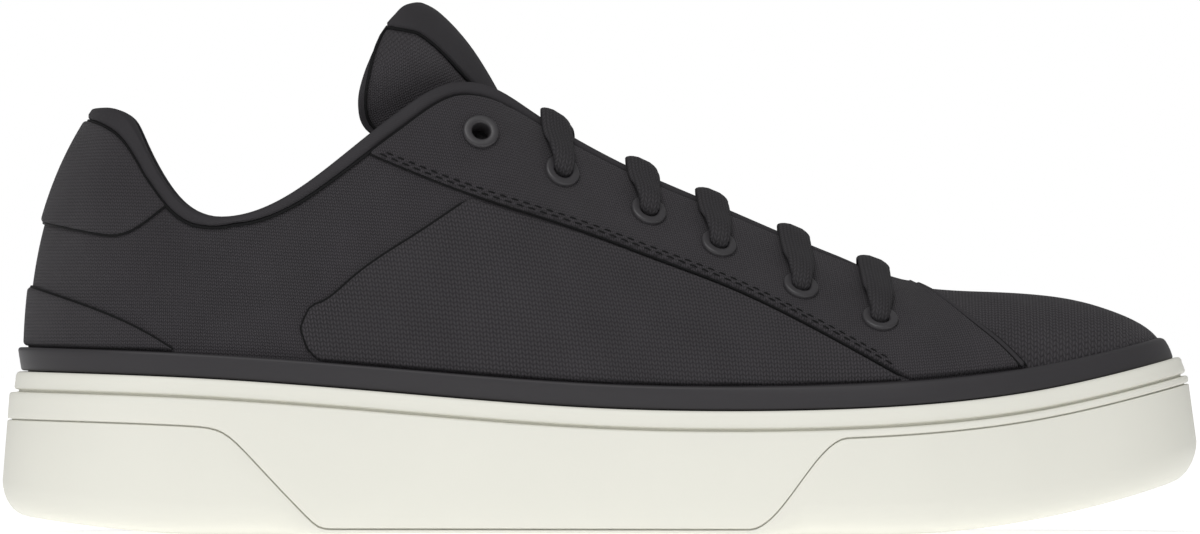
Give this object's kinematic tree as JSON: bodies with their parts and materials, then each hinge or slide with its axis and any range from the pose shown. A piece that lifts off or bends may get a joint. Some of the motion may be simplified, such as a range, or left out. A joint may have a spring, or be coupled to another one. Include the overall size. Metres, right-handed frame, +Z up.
{
  "type": "knit sneaker",
  "caption": "Low-top knit sneaker for the right foot: hollow charcoal upper with padded collar, laced throat and tongue, dark foxing band and thick cream cup sole.",
  "frame": {"origin": "on the floor, under the middle of the bounding box", "axes": "+X towards the toe, +Y towards the medial side, +Z up"},
  "size_m": [0.2988, 0.1096, 0.1332],
  "materials": {
    "knit": "matte dense knit",
    "overlay": "matte fine knit, sewn on",
    "trim": "smooth matte woven binding",
    "lining": "matte brushed lining",
    "foxing_rubber": "smooth satin rubber",
    "midsole_rubber": "smooth matte rubber",
    "outsole_rubber": "smooth matte rubber",
    "eyelet": "satin",
    "lace": "matte flat braid"
  },
  "bodies": {
    "root": {"upper": "knit", "tongue": "knit", "eyestay_lateral": "overlay", "eyestay_medial": "overlay", "side_panel_lateral": "overlay", "side_panel_medial": "overlay", "heel_patch": "overlay", "heel_counter": "overlay", "collar_binding": "trim", "tongue_label": "trim", "insole": "lining", "foxing": "foxing_rubber", "midsole": "midsole_rubber", "outsole": "outsole_rubber", "eyelet_lateral_1": "eyelet", "eyelet_lateral_2": "eyelet", "eyelet_lateral_3": "eyelet", "eyelet_lateral_4": "eyelet", "eyelet_lateral_5": "eyelet", "eyelet_lateral_6": "eyelet", "eyelet_medial_1": "eyelet", "eyelet_medial_2": "eyelet", "eyelet_medial_3": "eyelet", "eyelet_medial_4": "eyelet", "eyelet_medial_5": "eyelet", "eyelet_medial_6": "eyelet", "lace_1": "lace", "lace_2": "lace", "lace_3": "lace", "lace_4": "lace", "lace_5": "lace"}
  },
  "joints": []
}
